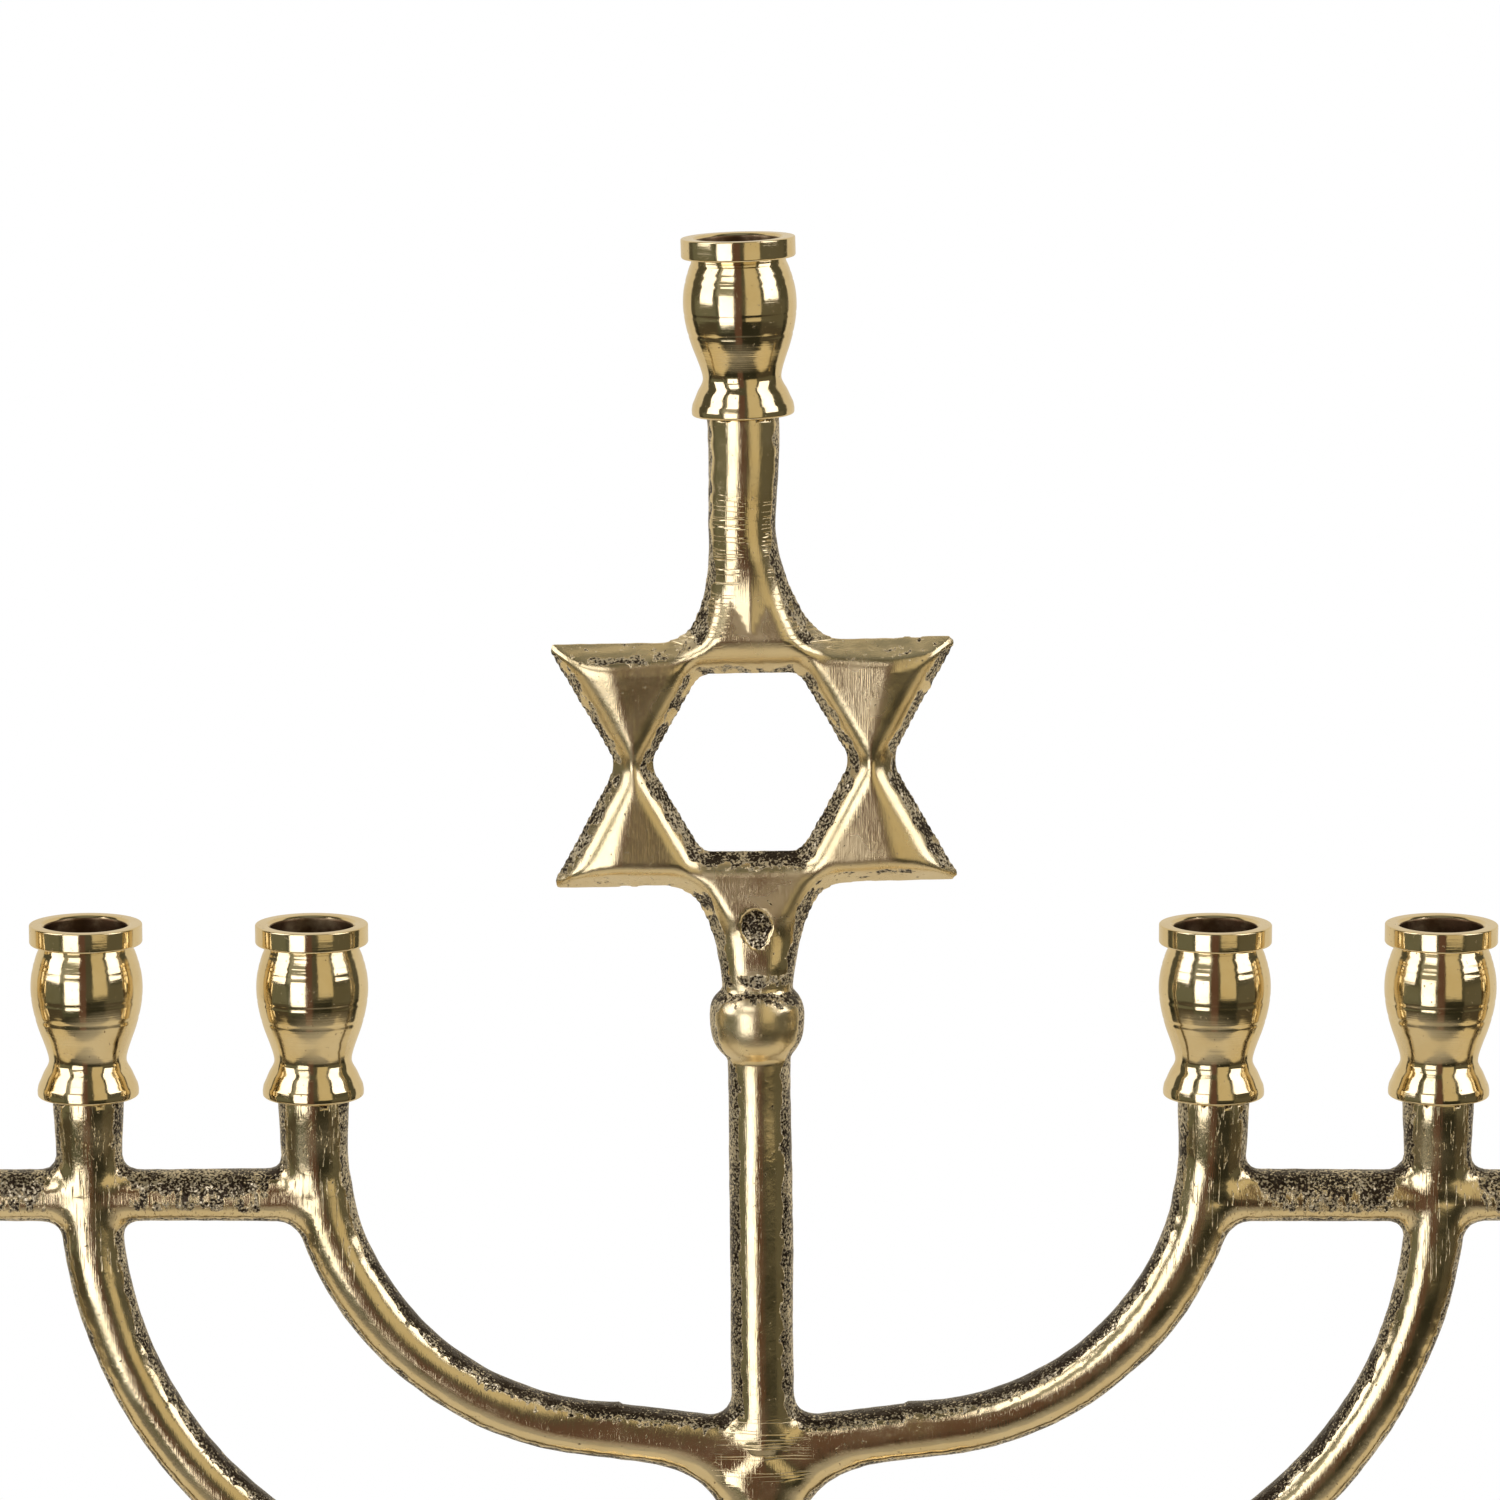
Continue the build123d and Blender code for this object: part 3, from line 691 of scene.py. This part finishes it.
def cast_brass(nodes):
    """Sand-cast brass, filed and polished where it stands proud and left rough and dark where it doesn't."""
    place = nodes.add("TexCoord").outputs["Object"]
    skin, filed, scored, brushed = [nodes.add("Attribute", attribute_name=name).outputs["Fac"]
                                    for name in ("skin", "filed", "scored", "brushed")]
    edge_noise = nodes.math("SUBTRACT", nodes.noise(place, 0.9, 4, 0.5, ((1, 1, 0.45), (0, 0, 0))), 0.5)
    rough = nodes.step(nodes.math("ADD", skin, nodes.math("MULTIPLY", edge_noise, 1.5)), 0.40, 0.58)
    # Grains and pits of the sand, many in some places and few in others.
    crowding = nodes.step(nodes.noise(place, 3.5, 3), 0.32, 0.68, -0.07, 0.04)
    darkest = nodes.step(skin, 1.0, 1.4, 0.0, -0.10)
    crowding = nodes.math("ADD", crowding, darkest)
    grain = nodes.noise(place, 0.33, 3, 0.6)
    pits = nodes.step(nodes.math("ADD", grain, crowding), 0.54, 0.45)
    lumps = nodes.noise(place, 1.3, 3)
    # Scratches of the file and of the polishing wheel, in several directions.
    fine = nodes.noise(place, 0.11, 2, 0.5, ((1, 1, 0.03), (0, radians(20), 0)))
    cross = nodes.noise(place, 0.16, 2, 0.5, ((1, 1, 0.035), (0, radians(-52), 0)))
    slant = nodes.noise(place, 0.34, 2, 0.5, ((1, 1, 0.05), (0, radians(-32), 0)))
    level = nodes.noise(place, 0.75, 1, 0.5, ((0.07, 0.07, 1), (0, radians(7), 0)))
    scratches = nodes.math("ADD", fine, nodes.math("MULTIPLY", cross, nodes.step(lumps, 0.40, 0.62)))
    between = nodes.math("ABSOLUTE", nodes.math("SUBTRACT", level, 0.5))
    cuts = nodes.math("MULTIPLY", nodes.step(between, 0.045, 0.01), filed)
    scores = nodes.math("MULTIPLY", nodes.step(slant, 0.60, 0.68), scored)
    shine = nodes.math("SUBTRACT", 1.0, rough)
    normal = nodes.bump(nodes.math("MULTIPLY", scratches, shine), 0.011)
    normal = nodes.bump(nodes.noise(place, 2.6, 2, 0.5, ((1, 1, 0.4), (0, 0, 0))), 0.024, normal)
    normal = nodes.bump(nodes.math("MULTIPLY", nodes.math("ADD", cuts, scores), -1.0), 0.08, normal)
    sand = nodes.math("SUBTRACT", lumps, nodes.math("MULTIPLY", pits, 0.8))
    normal = nodes.bump(nodes.math("MULTIPLY", sand, rough), 0.40, normal)
    stray = nodes.step(nodes.noise(place, 0.55, 2, 0.5), 0.29, 0.24)
    normal = nodes.bump(nodes.math("MULTIPLY", stray, -1.0), 0.10, normal)
    tone = nodes.mix(nodes.step(nodes.noise(place, 7, 3), 0.35, 0.75), BRASS, WARM_BRASS)
    dark = nodes.math("MAXIMUM", nodes.math("MULTIPLY", pits, rough), nodes.math("MULTIPLY", stray, 0.8))
    colour = nodes.mix(dark, nodes.mix(rough, tone, OLD_BRASS), PATINA)
    hazy = nodes.step(nodes.noise(place, 5, 3, 0.5), 0.3, 0.7, 0.10, 0.19)
    softer = nodes.math("ADD", nodes.math("MULTIPLY", rough, 0.14), nodes.math("MULTIPLY", brushed, 0.11))
    return {"Base Color": colour, "Metallic": 1.0, "Normal": normal,
            "Roughness": nodes.math("ADD", softer, hazy)}


def turned_brass(nodes):
    """Brass from the lathe: fine rings all round, a hand-polished shine, and dark inside the mouth."""
    place = nodes.add("TexCoord").outputs["Object"]
    rings = nodes.noise(place, 0.16, 3, 0.6, ((0.02, 0.02, 1), (0, 0, 0)))
    chatter = nodes.noise(place, 0.9, 2, 0.5, ((0.04, 0.04, 1), (0, 0, 0)))
    normal = nodes.bump(rings, 0.006)
    normal = nodes.bump(chatter, 0.014, normal)
    normal = nodes.bump(nodes.noise(place, 2.4, 2), 0.02, normal)
    specks = nodes.step(nodes.noise(place, 0.45, 2), 0.29, 0.25)
    normal = nodes.bump(nodes.math("MULTIPLY", specks, -1.0), 0.05, normal)
    tone = nodes.mix(nodes.step(nodes.noise(place, 5, 4), 0.35, 0.7), BRASS, WARM_BRASS)
    inner = nodes.add("Attribute", attribute_name="inner").outputs["Fac"]
    grime = nodes.math("MULTIPLY", inner, nodes.step(nodes.noise(place, 2.5, 4), 0.25, 0.6, 0.75, 1.0))
    dark = nodes.math("MAXIMUM", grime, nodes.math("MULTIPLY", specks, 0.8))
    colour = nodes.mix(dark, tone, CANDLE_GRIME)
    rub = nodes.step(nodes.noise(place, 3, 4, 0.6), 0.35, 0.7, 0.07, 0.14)
    return {"Base Color": colour, "Metallic": 1.0, "Normal": normal,
            "Roughness": nodes.math("ADD", rub, nodes.math("MULTIPLY", inner, 0.3))}


def rod_brass(nodes):
    """Unpolished brass of the threaded studs, with grime in its threads."""
    place = nodes.add("TexCoord").outputs["Object"]
    grime = nodes.step(nodes.noise(place, 1.2, 4), 0.45, 0.65)
    colour = nodes.mix(grime, (0.78, 0.60, 0.30), (0.30, 0.20, 0.09))
    normal = nodes.bump(nodes.noise(place, 0.3, 3), 0.02)
    return {"Base Color": colour, "Metallic": 1.0, "Normal": normal,
            "Roughness": nodes.step(grime, 0, 1, 0.24, 0.5)}


def zinc_steel(nodes):
    """Steel with a dull, mottled coat of zinc."""
    place = nodes.add("TexCoord").outputs["Object"]
    spangle = nodes.step(nodes.noise(place, 1.5, 4), 0.35, 0.65)
    colour = nodes.mix(spangle, (0.56, 0.57, 0.58), (0.42, 0.43, 0.45))
    normal = nodes.bump(nodes.noise(place, 0.25, 3), 0.015)
    return {"Base Color": colour, "Metallic": 1.0, "Normal": normal,
            "Roughness": nodes.step(spangle, 0, 1, 0.28, 0.42)}


def green_felt(nodes):
    """Pressed wool, with its fibres raised here and there."""
    place = nodes.add("TexCoord").outputs["Object"]
    fibres = nodes.noise(place, 0.35, 6, 0.75)
    matted = nodes.noise(place, 2.5, 4)
    raised = nodes.step(nodes.math("ADD", fibres, matted), 0.8, 1.2)
    colour = nodes.mix(raised, (0.020, 0.085, 0.040), (0.060, 0.18, 0.09))
    return {"Base Color": colour, "Roughness": 0.95, "Sheen Weight": 0.5, "Sheen Roughness": 0.6,
            "Normal": nodes.bump(fibres, 0.25)}


def pale_floor(nodes):
    """Plain and pale, and faded out to nothing round its edge."""
    place = nodes.add("TexCoord").outputs["Object"]
    colour = nodes.mix(nodes.noise(place, 3, 3), (0.92, 0.90, 0.85), (0.94, 0.92, 0.87))
    away = nodes.add("VectorMath", {0: place}, operation="LENGTH").outputs["Value"]
    solid_share = nodes.step(away, FLOOR_REACH / 3, FLOOR_REACH, 0.62, 0.0)
    return {"Base Color": colour, "Roughness": 0.7, "Alpha": solid_share}


# The studio ---------------------------------------------------------------------------------------------

# Soft lights and lit walls round the object: colour, distance in metres, then the span of turn from the front
# in degrees and the span of height in metres. Left of the viewer is negative.
SOFT_LIGHTS = (
    ("left_window", (2.2, 2.15, 2.25), 0.70, (-88, -57), (0.265, 1.50)),
    ("long_strip", (2.2, 2.15, 2.25), 1.50, (-43, -13), (-0.40, 0.53)),
    ("upper_strip", (2.0, 1.95, 2.05), 1.50, (-43, -13), (0.98, 1.90)),
    ("plain_wall", (0.54, 0.45, 0.28), 0.70, (12, 44), (0.07, 1.60)),
    ("right_window", (2.2, 2.15, 2.25), 0.70, (52, 86), (0.33, 1.50)),
)
# The dim room beyond them: colour, spans of turn and of height in degrees, and how soft their edges are.
ROOM = (
    ((0.085, 0.08, 0.055), (-180, 180), (-15, 90), 5),
    ((0.74, 0.66, 0.52), (117, 243), (-90, 90), 4),  # the white sweep behind
    ((0.15, 0.15, 0.105), (-104, -46), (-20, 0), 5),
    ((0.075, 0.062, 0.040), (-104, -46), (-32, -20), 5),
    ((0.12, 0.11, 0.075), (46, 104), (-20, 0), 5),
    ((0.075, 0.062, 0.040), (46, 104), (-32, -20), 5),
    ((0.30, 0.30, 0.25), (-50, -8), (5, 40), 6),
    ((0.085, 0.09, 0.06), (-50, -8), (-30, 5), 6),
    ((0.12, 0.066, 0.047), (-12, 4), (-40, 45), 3),  # a dark doorway
    ((0.20, 0.20, 0.17), (-180, 180), (74, 120), 8),  # the ceiling
)
DARK_ROOM = (0.028, 0.027, 0.017)
TABLE_GLOW = (0.68, 0.565, 0.35)
# How steeply the table's front edge and its side edges are seen from the object, as slopes.
TABLE_FRONT, TABLE_SIDE = 1.25, 0.62
BACKDROP = (1.0, 1.0, 1.0)


def soft_light(name, colour, distance, turns, heights):
    """An upright rectangular light that faces the object and is seen only in reflections."""
    left, right = map(radians, turns)
    middle = (left + right) / 2
    data = bpy.data.lights.new(name, "AREA")
    data.shape = "RECTANGLE"
    data.size = 2 * distance * tan((right - left) / 2)
    data.size_y = heights[1] - heights[0]
    strength = max(colour)
    data.color = [part / strength for part in colour]
    data.energy = strength * pi * data.size * data.size_y
    light = bpy.data.objects.new(name, data)
    light.location = (distance * sin(middle), -distance * cos(middle), sum(heights) / 2)
    light.rotation_euler = Vector((-sin(middle), cos(middle), 0)).to_track_quat("-Z", "Y").to_euler()
    light.visible_camera = False
    bpy.context.scene.collection.objects.link(light)


def studio_light():
    """A room round the object for it to reflect, and an even white behind it."""
    world = bpy.data.worlds.new("studio")
    bpy.context.scene.world = world
    world.use_nodes = True
    nodes = Nodes(world.node_tree)
    direction = nodes.add("TexCoord").outputs["Generated"]
    x, y, z = nodes.add("SeparateXYZ", {"Vector": direction}).outputs
    turn = nodes.math("MULTIPLY", nodes.math("ARCTAN2", x, nodes.math("MULTIPLY", y, -1.0)), 180 / pi)
    height = nodes.math("MULTIPLY", nodes.math("ARCSINE", z), 180 / pi)
    front = nodes.math("MULTIPLY", y, -TABLE_FRONT)
    side = nodes.math("MULTIPLY", nodes.math("ABSOLUTE", x), TABLE_SIDE)
    depth = nodes.math("ADD", nodes.math("MAXIMUM", front, side), z)
    table = nodes.step(depth, -0.03, 0.02, 1.0, 0.0)
    colour = nodes.mix(table, DARK_ROOM, TABLE_GLOW)
    for panel, (left, right), (low, high), soft in ROOM:
        if right > 180:
            # A panel that spans the back is measured from its own middle, the way round that is shorter.
            middle = (left + right) / 2 - 180
            away = nodes.math("ABSOLUTE", nodes.math("SUBTRACT", turn, middle))
            edge = 180 - (right - left) / 2
            sideways = nodes.step(away, edge - soft / 2, edge + soft / 2)
        elif right - left < 360:
            sideways = nodes.math("MULTIPLY", nodes.step(turn, left - soft / 2, left + soft / 2),
                                  nodes.step(turn, right - soft / 2, right + soft / 2, 1.0, 0.0))
        else:
            sideways = 1.0
        upward = nodes.math("MULTIPLY", nodes.step(height, low - soft / 2, low + soft / 2),
                            nodes.step(height, high - soft / 2, high + soft / 2, 1.0, 0.0))
        colour = nodes.mix(nodes.math("MULTIPLY", sideways, upward), colour, panel)
    room = nodes.add("Background", {"Color": colour, "Strength": 1.0})
    plain = nodes.add("Background", {"Color": (*BACKDROP, 1), "Strength": 1.0})
    seen = nodes.add("LightPath").outputs["Is Camera Ray"]
    both = nodes.add("MixShader", {0: seen, 1: room.outputs[0], 2: plain.outputs[0]})
    output = nodes.add("OutputWorld")
    world.node_tree.links.new(both.outputs[0], output.inputs[0])
    for light in SOFT_LIGHTS:
        soft_light(*light)


FLOOR_REACH = 0.42  # metres, from the middle to where the floor has faded out
FLOOR_DROP = 0.02  # millimetres under the felt


def floor():
    """A round of plain floor under the object."""
    outline = [(0, 0)] + [(FLOOR_REACH / MM * step / 24, 0) for step in range(1, 25)]
    piece = lathe("floor", [(radius, -FLOOR_DROP) for radius, _ in reversed(outline)], 96)
    piece.data.materials.append(material("pale_floor", pale_floor))


VIEWER_X, VIEWER_Y, VIEWER_RISE = -1.7, -838, 168.4  # millimetres; the rise is above the side cups' rims
VIEWER_PITCH = 9.9  # degrees below level
LENS, SENSOR = 163.2, 36


def camera():
    """The viewer: above the side cups' rims, looking slightly down through a long lens."""
    rim_z = box_mm("left_1_cup")[1][2]
    data = bpy.data.cameras.new("viewer")
    data.lens, data.sensor_width = LENS, SENSOR
    data.clip_start, data.clip_end = 0.05, 20
    viewer = bpy.data.objects.new("viewer", data)
    viewer.location = Vector((VIEWER_X, VIEWER_Y, rim_z + VIEWER_RISE)) * MM
    viewer.rotation_euler = (radians(90 - VIEWER_PITCH), 0, 0)
    bpy.context.scene.collection.objects.link(viewer)
    bpy.context.scene.camera = viewer


# Putting it together ------------------------------------------------------------------------------------

branches = cast_branches()
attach(branches, "stand")
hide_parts("branch_casting")
branches.data.materials.append(material("cast_brass", cast_brass))

lathe_brass = material("turned_brass", turned_brass)
for light, cup in turned_pieces().items():
    cup.data.materials.append(lathe_brass)
for piece in pedestal():
    piece.data.materials.append(lathe_brass)

FITTINGS = {"stud": material("threaded_brass", rod_brass), "tie_rod": material("zinc_steel", zinc_steel),
            "felt_ring": material("green_felt", green_felt)}
FITTINGS["washer"] = FITTINGS["nut"] = FITTINGS["tie_rod"]
for node in frame["nodes"]:
    finish = FITTINGS.get("stud" if node.endswith("_stud") else node)
    if finish:
        carried = bpy.data.objects[node]
        carried.data.materials.clear()
        carried.data.materials.append(finish)

floor()
studio_light()
camera()
bpy.context.scene.view_settings.view_transform = "Standard"
